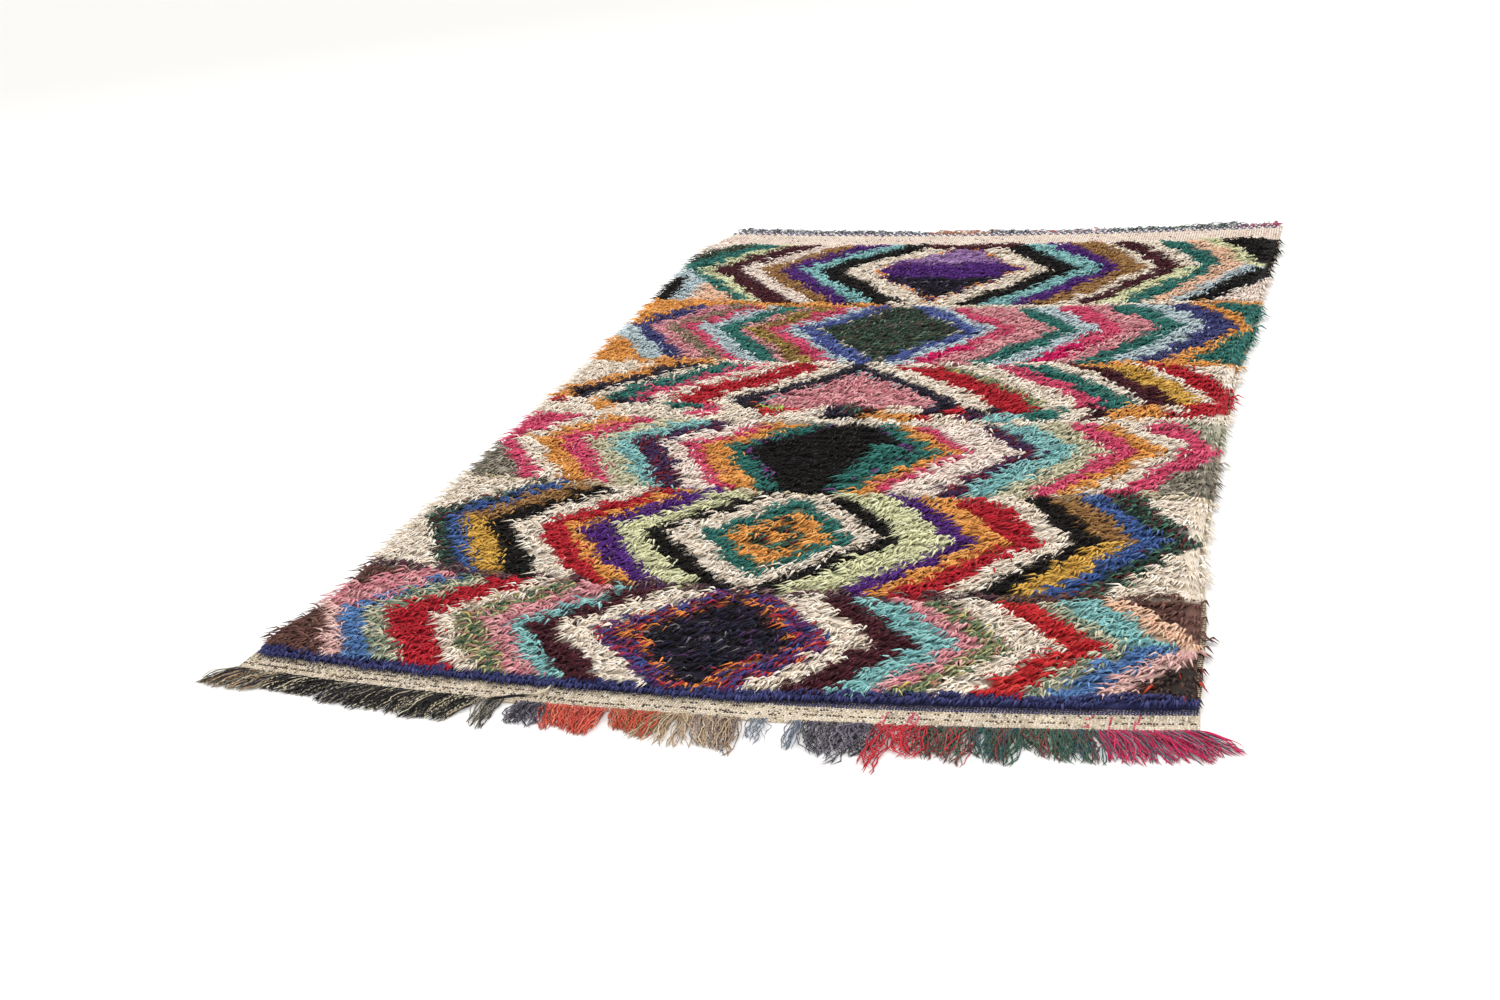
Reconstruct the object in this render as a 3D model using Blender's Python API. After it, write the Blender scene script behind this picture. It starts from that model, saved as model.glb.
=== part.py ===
"""A boucherouite rug that lies flat: a woven ground, a shag pile of cut yarn
knotted through it, and a fringe of loose warp ends at each end.

Metres, +Z up. X runs across the rug, Y along it, and the near end is at -Y.
The origin is under the middle of the rug's box, on the floor.
Places on the cloth are given as across (-1 at the left edge, 1 at the right)
and along (metres from the middle of the woven length, followed down an edge).
"""

import random

import bmesh
import bpy

# Driving dimensions
WOVEN_LENGTH = 2.715
NEAR_SKIRT = 0.062
FAR_SKIRT = 0.155
WEFT_BOW = 0.050
GROUND_THICKNESS = 0.003
GAP = 0.0003
ORIGIN_ALONG = 0.047

# Half widths down the length: the rug is waisted, and a little wider far left
EDGE_COLUMNS = ("along", "left", "right")
EDGES = (
    (-1.360, 0.748, 0.750),
    (-1.250, 0.742, 0.744),
    (-1.100, 0.715, 0.738),
    (-0.750, 0.722, 0.714),
    (-0.300, 0.729, 0.710),
    (0.100, 0.736, 0.714),
    (0.500, 0.748, 0.735),
    (0.900, 0.768, 0.743),
    (1.120, 0.784, 0.757),
    (1.250, 0.772, 0.754),
    (1.360, 0.752, 0.757),
)

# The pile: its height above the ground down the length
PILE_COLUMNS = ("along", "height")
PILE_HEIGHTS = (
    (-1.296, 0.013),
    (-1.240, 0.020),
    (-0.400, 0.023),
    (0.700, 0.021),
    (1.155, 0.019),
    (1.200, 0.014),
)
PILE_INSET = 0.008
PILE_LUMP = 0.0045
PILE_RIM_SHARE = 0.62
PILE_CELLS_ACROSS = 26
PILE_CELLS_ALONG = 54
RIM_LOCK_REACH = 0.024
RIM_LOCK_SPREAD = 0.012
RIM_LOCK_TIP_HEIGHT = 0.004

GROUND_CELLS_ACROSS = 14
GROUND_CELLS_ALONG = 20

# The fringes: a strip of the last wefts, and bunches of locks that fan or pinch
STRIP_DEPTH = 0.008
LOCK_ROOT_SHARE = 0.74
LOCK_TIP_WIDTH = 0.004
LOCK_TIP_HEIGHT = 0.0012
LOCK_SWELL = 0.0065
LOCK_STATIONS = (0.35, 0.72, 1.0)
BUNCH_COLUMNS = ("root_from", "root_to", "tip_from", "tip_to", "reach_from", "reach_to", "locks")
NEAR_BUNCHES = (
    (-0.744, -0.565, -0.768, -0.605, 0.046, 0.052, 11),
    (-0.560, -0.466, -0.556, -0.476, 0.062, 0.074, 6),
    (-0.462, -0.290, -0.462, -0.285, 0.074, 0.084, 11),
    (-0.286, -0.258, -0.268, -0.246, 0.082, 0.092, 2),
    (-0.238, -0.196, -0.232, -0.192, 0.066, 0.070, 3),
    (-0.192, -0.096, -0.176, -0.098, 0.070, 0.076, 6),
    (-0.086, -0.006, -0.066, -0.008, 0.060, 0.068, 5),
    (-0.002, 0.106, 0.004, 0.116, 0.086, 0.108, 7),
    (0.124, 0.150, 0.134, 0.160, 0.058, 0.084, 2),
    (0.190, 0.204, 0.196, 0.206, 0.084, 0.084, 1),
    (0.212, 0.268, 0.234, 0.272, 0.104, 0.082, 3),
    (0.274, 0.306, 0.284, 0.308, 0.082, 0.080, 2),
    (0.310, 0.336, 0.314, 0.334, 0.138, 0.130, 2),
    (0.342, 0.384, 0.354, 0.382, 0.088, 0.090, 3),
    (0.388, 0.448, 0.392, 0.444, 0.088, 0.096, 4),
    (0.452, 0.512, 0.466, 0.512, 0.084, 0.090, 4),
    (0.516, 0.608, 0.530, 0.622, 0.076, 0.088, 5),
    (0.612, 0.668, 0.640, 0.698, 0.086, 0.088, 4),
    (0.672, 0.744, 0.722, 0.806, 0.086, 0.062, 5),
)
FAR_BUNCHES = (
    (-0.742, -0.560, -0.748, -0.560, 0.058, 0.052, 8),
    (-0.552, -0.330, -0.548, -0.326, 0.044, 0.050, 8),
    (-0.322, -0.180, -0.322, -0.184, 0.040, 0.032, 5),
    (-0.170, 0.040, -0.166, 0.036, 0.048, 0.050, 7),
    (0.050, 0.300, 0.050, 0.300, 0.044, 0.040, 7),
    (0.310, 0.520, 0.306, 0.524, 0.034, 0.042, 6),
    (0.530, 0.650, 0.536, 0.656, 0.052, 0.078, 4),
    (0.660, 0.748, 0.660, 0.756, 0.028, 0.044, 4),
)

NEAR_END = -WOVEN_LENGTH / 2
FAR_END = WOVEN_LENGTH / 2


def read_table(rows, columns, at, wanted):
    """The wanted column at a place along, eased smoothly from row to row."""
    column = columns.index(wanted)
    for before, after in zip(rows, rows[1:]):
        if at <= after[0]:
            share = max(0.0, (at - before[0]) / (after[0] - before[0]))
            eased = share * share * (3 - 2 * share)
            return before[column] + (after[column] - before[column]) * eased
    return rows[-1][column]


def across_of(x, along):
    """Where a distance x from the middle line is, as a share of the half width."""
    side = "left" if x < 0 else "right"
    return x / read_table(EDGES, EDGE_COLUMNS, along, side)


def on_cloth(across, along, inset=0.0):
    """The floor place of a point of the cloth, with its wefts bowed to the near end."""
    side = "left" if across < 0 else "right"
    half = read_table(EDGES, EDGE_COLUMNS, along, side) - inset
    return across * half, along - WEFT_BOW * (1 - across * across) + ORIGIN_ALONG


def plain_material(name, colour, roughness):
    material = bpy.data.materials.new(name)
    material.use_nodes = True
    shader = material.node_tree.nodes["Principled BSDF"]
    shader.inputs["Base Color"].default_value = (*colour, 1)
    shader.inputs["Roughness"].default_value = roughness
    shader.inputs["Metallic"].default_value = 0.0
    return material


def keep_solid(shape, name, colour, roughness):
    """Turn a closed bmesh into the scene's object of that name."""
    bmesh.ops.recalc_face_normals(shape, faces=shape.faces)
    mesh = bpy.data.meshes.new(name)
    shape.to_mesh(mesh)
    shape.free()
    mesh.materials.append(plain_material(name, colour, roughness))
    solid = bpy.data.objects.new(name, mesh)
    bpy.context.scene.collection.objects.link(solid)
    return solid


def sheet_grid(cells_across, cells_along):
    """A flat grid whose points still hold across and along shares, from -1 to 1."""
    shape = bmesh.new()
    bmesh.ops.create_grid(shape, x_segments=cells_across, y_segments=cells_along, size=1.0)
    return shape


def thicken(shape, bottom):
    """Close a sheet into a slab by extruding it to a flat bottom."""
    grown = bmesh.ops.extrude_face_region(shape, geom=shape.faces[:])
    for item in grown["geom"]:
        if isinstance(item, bmesh.types.BMVert):
            item.co.z = bottom


def make_ground():
    """The woven cloth, with the bare skirt that shows past the pile at each end."""
    shape = sheet_grid(GROUND_CELLS_ACROSS, GROUND_CELLS_ALONG)
    half_length = WOVEN_LENGTH / 2 - STRIP_DEPTH - GAP
    for vert in shape.verts:
        x, y = on_cloth(vert.co.x, vert.co.y * half_length)
        vert.co = (x, y, GROUND_THICKNESS)
    thicken(shape, 0.0)
    return keep_solid(shape, "ground_weave", (0.68, 0.60, 0.46), 0.95)


def make_pile():
    """The shag as a lumpy slab on the ground, with pointed locks round its rim."""
    rng = random.Random(11)
    near_line = NEAR_END + NEAR_SKIRT
    far_line = FAR_END - FAR_SKIRT
    bottom = GROUND_THICKNESS + GAP
    shape = sheet_grid(PILE_CELLS_ACROSS, PILE_CELLS_ALONG)
    for vert in shape.verts:
        across = vert.co.x
        along = near_line + (far_line - near_line) * (vert.co.y + 1) / 2
        height = read_table(PILE_HEIGHTS, PILE_COLUMNS, along, "height")
        height += rng.uniform(-PILE_LUMP, PILE_LUMP) * (0.4 + 0.6 * height / 0.023)
        if vert.is_boundary:
            height *= PILE_RIM_SHARE
        x, y = on_cloth(across, along, PILE_INSET)
        vert.co = (x, y, bottom + height)
    thicken(shape, bottom)
    bmesh.ops.recalc_face_normals(shape, faces=shape.faces)
    rim = [face for face in shape.faces if abs(face.normal.z) < 0.2]
    poked = bmesh.ops.poke(shape, faces=rim, offset=0.0)
    for tip in sorted(poked["verts"], key=lambda vert: (round(vert.co.y, 5), vert.co.x)):
        out = sum((face.normal for face in tip.link_faces), tip.normal * 0)
        out.z = 0.0
        out.normalize()
        along_rim = out.orthogonal()
        along_rim.z = 0.0
        tip.co += out * RIM_LOCK_REACH * rng.uniform(0.7, 1.15)
        tip.co += along_rim.normalized() * rng.uniform(-RIM_LOCK_SPREAD, RIM_LOCK_SPREAD)
        tip.co.z = bottom + RIM_LOCK_TIP_HEIGHT * rng.uniform(0.5, 1.5)
    return keep_solid(shape, "pile", (0.45, 0.25, 0.24), 1.0)


def lock_edges(bunches):
    """The places across at which each lock starts and ends, bunch by bunch."""
    edges = []
    for row in bunches:
        bunch = dict(zip(BUNCH_COLUMNS, row))
        pitch = (bunch["root_to"] - bunch["root_from"]) / bunch["locks"]
        for number in range(bunch["locks"]):
            share = (number + 0.5) / bunch["locks"]
            middle = bunch["root_from"] + pitch * (number + 0.5)
            edges.append({
                "middle": middle,
                "width": pitch * LOCK_ROOT_SHARE,
                "tip": bunch["tip_from"] + (bunch["tip_to"] - bunch["tip_from"]) * share,
                "reach": bunch["reach_from"] + (bunch["reach_to"] - bunch["reach_from"]) * share,
            })
    return edges


def make_fringe(name, bunches, end, outward, colour, seed):
    """A narrow strip of the last wefts, with a tapered lock for each group of warp ends.

    Each lock lies on the floor for its whole length: its underside stays level.
    """
    rng = random.Random(seed)
    locks = lock_edges(bunches)
    half_left = read_table(EDGES, EDGE_COLUMNS, end, "left")
    half_right = read_table(EDGES, EDGE_COLUMNS, end, "right")
    places = [-half_left]
    for lock in locks:
        places += [lock["middle"] - lock["width"] / 2, lock["middle"] + lock["width"] / 2]
    places.append(half_right)

    shape = bmesh.new()
    bmesh.ops.create_grid(shape, x_segments=len(places) - 1, y_segments=1, size=1.0)
    for vert in shape.verts:
        number = round((vert.co.x + 1) / 2 * (len(places) - 1))
        depth = 0.0 if vert.co.y * outward > 0 else STRIP_DEPTH
        x, y = on_cloth(across_of(places[number], end), end - outward * depth)
        vert.co = (places[number], y, GROUND_THICKNESS)
    thicken(shape, 0.0)
    bmesh.ops.recalc_face_normals(shape, faces=shape.faces)

    fronts = sorted(
        (face for face in shape.faces if face.normal.y * outward > 0.7),
        key=lambda face: face.calc_center_median().x,
    )
    for lock, face in zip(locks, fronts[1::2]):
        root_y = face.calc_center_median().y
        reach = lock["reach"] * rng.uniform(0.92, 1.06)
        sway = rng.uniform(-0.002, 0.002)
        for share in LOCK_STATIONS:
            face = bmesh.ops.extrude_discrete_faces(shape, faces=[face])["faces"][0]
            middle = face.calc_center_median()
            taper = share ** 1.5
            width = lock["width"] + (LOCK_TIP_WIDTH - lock["width"]) * taper
            height = GROUND_THICKNESS + LOCK_SWELL * 4 * share * (1 - share) * 0.6
            height += (LOCK_TIP_HEIGHT - GROUND_THICKNESS) * share
            centre = lock["middle"] + (lock["tip"] - lock["middle"]) * share
            centre += sway * 4 * share * (1 - share)
            for vert in face.verts:
                side = 0.5 if vert.co.x > middle.x else -0.5
                top = vert.co.z > middle.z
                vert.co.x = centre + side * width
                vert.co.y = root_y + outward * reach * share
                vert.co.z = height if top else 0.0
    return keep_solid(shape, name, colour, 0.9)


def clear_scene():
    for item in list(bpy.data.objects):
        bpy.data.objects.remove(item, do_unlink=True)


def make_rug():
    clear_scene()
    make_ground()
    make_pile()
    make_fringe("fringe_near", NEAR_BUNCHES, NEAR_END, -1, (0.12, 0.10, 0.11), 21)
    make_fringe("fringe_far", FAR_BUNCHES, FAR_END, 1, (0.30, 0.30, 0.36), 22)


make_rug()
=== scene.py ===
# %% [markdown]
# # A boucherouite rug, knotted from cut yarn and rag
#
# A boucherouite is a Berber rag rug. A woven ground carries rows of knots, and each knot leaves
# a lock of old yarn or rag that lies down over the row before it. The weaver changes colour knot by
# knot, which here draws rings of diamonds, six bands of them. The two ends stay bare, and the warp
# ends hang out as a fringe.
# This lesson builds the rug the same way: a ground sheet, a bed under the pile, tens of thousands
# of locks whose colours come from a small chart, twined stitches on the bare ends, and two fringes.

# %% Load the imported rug
import math

import bmesh
import bpy
import numpy as np
from mathutils import Matrix, Vector


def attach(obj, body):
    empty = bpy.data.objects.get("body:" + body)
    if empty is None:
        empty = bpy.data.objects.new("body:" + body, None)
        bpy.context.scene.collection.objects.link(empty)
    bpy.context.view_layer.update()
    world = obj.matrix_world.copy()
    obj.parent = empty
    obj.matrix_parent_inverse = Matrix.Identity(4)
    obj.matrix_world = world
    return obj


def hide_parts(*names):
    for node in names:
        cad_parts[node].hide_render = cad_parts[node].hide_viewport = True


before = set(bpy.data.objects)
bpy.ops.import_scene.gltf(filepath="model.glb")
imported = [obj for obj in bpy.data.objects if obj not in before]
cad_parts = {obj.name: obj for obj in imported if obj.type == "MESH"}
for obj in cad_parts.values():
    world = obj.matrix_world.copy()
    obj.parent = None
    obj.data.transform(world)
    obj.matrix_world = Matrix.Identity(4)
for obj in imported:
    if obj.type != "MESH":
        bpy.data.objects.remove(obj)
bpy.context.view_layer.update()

# %% [markdown]
# ## The camera first
#
# The photo is taken from standing height, past the near right corner, looking down the rug with a
# slight roll. Its place was worked out from the rug's four corners: two pairs of parallel edges give
# two vanishing points, and these give the lens and the three axes.

# %% Place the camera
CAMERA_PLACE = Vector((0.920, -3.581, 1.287))
CAMERA_RIGHT = Vector((0.9532, 0.2893, -0.0878))
CAMERA_UP = Vector((-0.0307, 0.3815, 0.9239))
LENS_MM = 44.8
SENSOR_MM = 36.0


def add_camera():
    """The photo's view: its right and up directions turned into a camera's matrix."""
    data = bpy.data.cameras.new("camera")
    data.lens = LENS_MM
    data.sensor_width = SENSOR_MM
    data.clip_start = 0.05
    camera = bpy.data.objects.new("camera", data)
    right = CAMERA_RIGHT.normalized()
    back = right.cross(CAMERA_UP).normalized()
    up = back.cross(right).normalized()
    turn = Matrix((right, up, back)).transposed()
    camera.matrix_world = Matrix.Translation(CAMERA_PLACE) @ turn.to_4x4()
    bpy.context.scene.collection.objects.link(camera)
    bpy.context.scene.camera = camera


add_camera()

# %% [markdown]
# ## A soft studio
#
# The photo is a cut-out on white, lit softly from above with a little more light from one side, so each lock
# has a bright back and a dark root. A pale floor, a bright plain world and two wide area lamps do the same,
# and painted shade at each lock's root adds to it.

# %% Light and floor
WORLD_LIGHT = 1.12
FLOOR_SIZE = 40.0
LAMPS = (
    # name, place, aim, size in metres, power in watts
    ("key", (-2.2, 2.6, 3.6), (0.0, 0.0, 0.0), 2.6, 85.0),
    ("fill", (1.6, -3.2, 3.4), (0.0, -0.4, 0.0), 2.6, 55.0),
)


def plain_nodes(name):
    """A new material with its shader and node tree."""
    material = bpy.data.materials.new(name)
    material.use_nodes = True
    tree = material.node_tree
    return material, tree, tree.nodes["Principled BSDF"]


def add_studio():
    world = bpy.data.worlds.new("studio")
    world.use_nodes = True
    background = world.node_tree.nodes["Background"]
    background.inputs["Color"].default_value = (1.0, 0.99, 0.975, 1)
    background.inputs["Strength"].default_value = WORLD_LIGHT
    bpy.context.scene.world = world
    bpy.context.scene.view_settings.view_transform = "Standard"
    for name, place, aim, size, power in LAMPS:
        data = bpy.data.lights.new(name, "AREA")
        data.size = size
        data.energy = power
        lamp = bpy.data.objects.new(name, data)
        lamp.location = place
        away = Vector(aim) - Vector(place)
        lamp.rotation_euler = away.to_track_quat("-Z", "Y").to_euler()
        bpy.context.scene.collection.objects.link(lamp)


def add_floor():
    shape = bmesh.new()
    bmesh.ops.create_grid(shape, x_segments=1, y_segments=1, size=FLOOR_SIZE / 2)
    mesh = bpy.data.meshes.new("floor")
    shape.to_mesh(mesh)
    shape.free()
    floor = bpy.data.objects.new("floor", mesh)
    bpy.context.scene.collection.objects.link(floor)
    material, tree, shader = plain_nodes("pale_floor")
    shader.inputs["Base Color"].default_value = (0.86, 0.855, 0.845, 1)
    shader.inputs["Roughness"].default_value = 0.9
    mesh.materials.append(material)


add_studio()
add_floor()

# %% [markdown]
# ## Places on the cloth
#
# The rug is not a rectangle. Its sides draw in at the waist, and its wefts bow towards the near end.
# So every place is given as x, metres from the middle line, and along, metres up the
# length as followed down an edge. One function turns these into a point on the floor.

# %% The cloth's outline
WOVEN_LENGTH = 2.715
WEFT_BOW = 0.050
ORIGIN_ALONG = 0.047
NEAR_END = -WOVEN_LENGTH / 2
FAR_END = WOVEN_LENGTH / 2
PILE_FROM = -1.288
PILE_TO = 1.190
GROUND_THICKNESS = 0.003
EDGES = (
    # along, half width on the left, half width on the right
    (-1.360, 0.748, 0.750),
    (-1.250, 0.742, 0.744),
    (-1.100, 0.715, 0.738),
    (-0.750, 0.722, 0.714),
    (-0.300, 0.729, 0.710),
    (0.100, 0.736, 0.714),
    (0.500, 0.748, 0.735),
    (0.900, 0.768, 0.743),
    (1.120, 0.784, 0.757),
    (1.250, 0.772, 0.754),
    (1.360, 0.752, 0.757),
)


def eased(rows, at, column):
    """A column of a table read smoothly at many places at once."""
    table = np.array(rows)
    at = np.asarray(at, dtype=float)
    row = np.clip(np.searchsorted(table[:, 0], at) - 1, 0, len(table) - 2)
    before = table[row]
    after = table[row + 1]
    share = np.clip((at - before[..., 0]) / (after[..., 0] - before[..., 0]), 0, 1)
    share = share * share * (3 - 2 * share)
    return before[..., column] + (after[..., column] - before[..., column]) * share


def half_width(x, along):
    """How far the cloth reaches on the side that x is on."""
    return np.where(np.asarray(x) < 0, eased(EDGES, along, 1), eased(EDGES, along, 2))


def floor_y(x, along):
    """The y of a place on the cloth, with the wefts' bow."""
    across = np.asarray(x) / half_width(x, along)
    return along - WEFT_BOW * (1 - across ** 2) + ORIGIN_ALONG


def soft_noise(x, y, cell, seed):
    """Random values from -1 to 1, smooth between the corners of square cells."""
    values = np.random.default_rng(seed).uniform(-1, 1, (97, 97))
    column = (np.asarray(x) / cell) % 96
    row = (np.asarray(y) / cell) % 96
    c0 = column.astype(int)
    r0 = row.astype(int)
    fc = column - c0
    fr = row - r0
    fc = fc * fc * (3 - 2 * fc)
    fr = fr * fr * (3 - 2 * fr)
    low = values[r0, c0] * (1 - fc) + values[r0, c0 + 1] * fc
    high = values[r0 + 1, c0] * (1 - fc) + values[r0 + 1, c0 + 1] * fc
    return low * (1 - fr) + high * fr


# %% [markdown]
# ## The yarns
#
# A rag rug's colours come from worn clothes and left-over yarn, so hardly any stripe is one
# colour. Each yarn here is a small recipe of colours with shares. A lock takes its yarn from the
# chart, and each of its strands then draws one colour from the recipe. A heather yarn has many
# colours, a plain one has two or three close shades.

# %% Yarn recipes, in the screen's red, green and blue
YARNS = {
    "cream": ((240, 226, 207, 5), (230, 213, 191, 3), (247, 238, 226, 2), (214, 194, 170, 1)),
    "pink_cream": ((243, 226, 213, 4), (234, 210, 196, 3), (247, 236, 226, 2)),
    "skirt_pink": ((242, 226, 212, 4), (234, 212, 198, 3), (246, 236, 226, 2)),
    "check_blue": ((96, 104, 152, 4), (78, 84, 134, 3), (118, 124, 160, 1)),
    "ecru": ((202, 189, 158, 3), (186, 172, 142, 2), (217, 206, 178, 2)),
    "black": ((21, 18, 17, 6), (31, 26, 24, 3), (15, 13, 14, 2)),
    "night": ((26, 23, 28, 8), (44, 34, 56, 3), (36, 38, 60, 3), (78, 50, 92, 1), (120, 118, 120, 0.5)),
    "navy": ((42, 40, 54, 5), (30, 28, 38, 3), (52, 44, 66, 2)),
    "maroon": ((76, 30, 40, 5), (62, 24, 33, 3), (92, 38, 48, 2)),
    "aqua": ((134, 192, 190, 5), (112, 174, 176, 3), (160, 210, 206, 2)),
    "teal": ((44, 116, 106, 5), (34, 96, 90, 3), (60, 134, 124, 2)),
    "dusty_pink": ((220, 146, 152, 5), (206, 122, 134, 3), (230, 174, 174, 3), (184, 100, 116, 1)),
    "rose": ((217, 72, 112, 5), (202, 58, 96, 3), (228, 100, 132, 2)),
    "magenta": ((222, 4, 104, 5), (204, 2, 92, 3)),
    "red": ((186, 24, 42, 5), (168, 18, 36, 3), (204, 40, 52, 2)),
    "warm_red": ((198, 32, 38, 4), (184, 22, 36, 3), (210, 56, 48, 2)),
    "orange": ((228, 154, 68, 5), (214, 136, 52, 3), (240, 176, 92, 2)),
    "golden": ((216, 168, 60, 5), (202, 150, 50, 3), (228, 184, 84, 2)),
    "caramel": ((160, 116, 64, 5), (142, 100, 56, 3), (178, 136, 82, 2)),
    "brown": ((104, 68, 60, 5), (88, 58, 52, 3), (122, 84, 74, 2)),
    "dark_brown": ((74, 54, 46, 5), (58, 44, 38, 3), (94, 72, 60, 2)),
    "singed": ((56, 42, 38, 5), (40, 32, 30, 3), (92, 66, 56, 2), (198, 66, 40, 1)),
    "violet": ((84, 36, 122, 5), (70, 30, 104, 3), (100, 52, 140, 2)),
    "lilac": ((160, 122, 176, 5), (142, 102, 160, 3), (178, 146, 190, 2)),
    "indigo": ((66, 68, 122, 5), (54, 56, 104, 3), (82, 86, 140, 2)),
    "indigo_band": ((58, 61, 112, 5), (47, 50, 94, 3), (72, 76, 128, 2)),
    "denim": ((80, 122, 176, 5), (66, 104, 156, 3), (104, 146, 196, 2)),
    "deep_denim": ((62, 92, 154, 5), (48, 74, 130, 3), (84, 118, 176, 2)),
    "periwinkle": ((78, 92, 158, 5), (64, 76, 136, 3), (100, 118, 180, 2)),
    "pale_blue": ((186, 203, 208, 5), (168, 188, 196, 3), (204, 217, 218, 2)),
    "lime_cream": ((220, 220, 174, 5), (206, 206, 156, 3), (230, 230, 192, 2)),
    "lime": ((176, 204, 84, 3), (150, 186, 66, 2)),
    "sage": ((204, 200, 164, 4), (186, 180, 146, 3), (218, 212, 184, 3)),
    "peach": ((238, 194, 162, 5), (226, 178, 146, 3), (242, 208, 182, 2)),
    "pale_pink": ((228, 184, 176, 5), (218, 166, 162, 3), (236, 202, 190, 2)),
    "forest": ((58, 80, 64, 5), (40, 58, 48, 4), (84, 62, 54, 2), (104, 128, 106, 1)),
    "forest_flecked": ((54, 80, 68, 5), (34, 46, 42, 4), (110, 40, 44, 2), (84, 128, 104, 2)),
    "speckle": ((104, 56, 118, 3), (172, 40, 56, 3), (58, 76, 140, 3), (72, 40, 84, 3), (214, 104, 60, 1)),
    "ember": ((230, 136, 52, 5), (176, 48, 54, 2), (70, 44, 84, 2), (40, 34, 44, 2)),
    "garden": ((112, 136, 92, 3), (196, 186, 132, 3), (176, 120, 110, 2), (196, 180, 84, 0.5),
               (74, 100, 78, 3)),
    "sage_heather": ((208, 204, 176, 4), (132, 152, 126, 3), (186, 172, 142, 2), (96, 122, 106, 2)),
    "plum_heather": ((74, 42, 84, 4), (128, 36, 54, 3), (60, 54, 96, 2), (52, 30, 50, 2)),
    "plum_fleck": ((30, 26, 30, 5), (124, 56, 132, 3), (44, 104, 98, 2)),
    "gold_fleck": ((228, 140, 62, 4), (84, 36, 122, 2), (60, 40, 70, 2), (226, 208, 184, 1)),
    "cream_fleck": ((208, 200, 172, 4), (70, 88, 74, 4), (90, 104, 150, 2)),
    "olive": ((150, 122, 56, 4), (132, 100, 62, 3), (190, 168, 70, 1.5)),
    "grey_olive": ((146, 134, 106, 3), (120, 112, 92, 3), (196, 130, 130, 1)),
    "grey_heather": ((140, 130, 114, 4), (112, 104, 92, 3), (176, 166, 148, 3), (96, 104, 92, 1)),
    "stone_green": ((176, 172, 146, 4), (124, 132, 112, 3), (204, 198, 176, 3)),
    "wine_line": ((92, 56, 66, 4), (128, 104, 98, 2), (70, 52, 62, 3)),
    "aqua_fleck": ((208, 142, 152, 4), (120, 188, 186, 3), (222, 160, 166, 2)),
}
YARN_NAMES = list(YARNS)
FADING = 0.07


def number_of(yarn):
    """A yarn's number, which is its place among the recipes."""
    return YARN_NAMES.index(yarn)


def linear(colour):
    """Screen colours from 0 to 255 as the light values that shaders use."""
    share = np.asarray(colour, dtype=float) / 255
    return np.where(share <= 0.04045, share / 12.92, ((share + 0.055) / 1.055) ** 2.4)


def draw_colours(names, rng):
    """One colour for each name in an array of yarn numbers, drawn from its recipe and a bit faded."""
    colours = np.zeros((len(names), 3))
    for number in np.unique(names):
        recipe = np.array(YARNS[YARN_NAMES[number]], dtype=float)
        chosen = np.flatnonzero(names == number)
        pick = rng.choice(len(recipe), size=len(chosen), p=recipe[:, 3] / recipe[:, 3].sum())
        colours[chosen] = linear(recipe[pick, :3])
    grey = colours @ np.array([0.2126, 0.7152, 0.0722])
    return colours + (grey[:, None] - colours) * FADING


# %% [markdown]
# ## The chart
#
# Each band is a diamond in the middle with rings round it, cut off by the band's two edges. A ring
# is a width, so a row of the chart is a yarn and its width in millimetres, from the middle
# outwards, once for the left side and once for the right. A slope says how far a ring draws
# in for each metre above or below the band's middle row. A name with a bar is two yarns,
# the first above the middle row and the second below it. The weaver's counts wander, so a soft
# noise shifts each edge a little.

# %% Bands of rings
def side(slopes, row, rest):
    """One side of a band: slopes near and far above, near and far below, its rings, and what follows."""
    pairs = [ring.split() for ring in row.split(",")]
    return {"slopes": slopes, "rings": [(yarn, int(width)) for yarn, width in pairs], "rest": rest}


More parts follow.
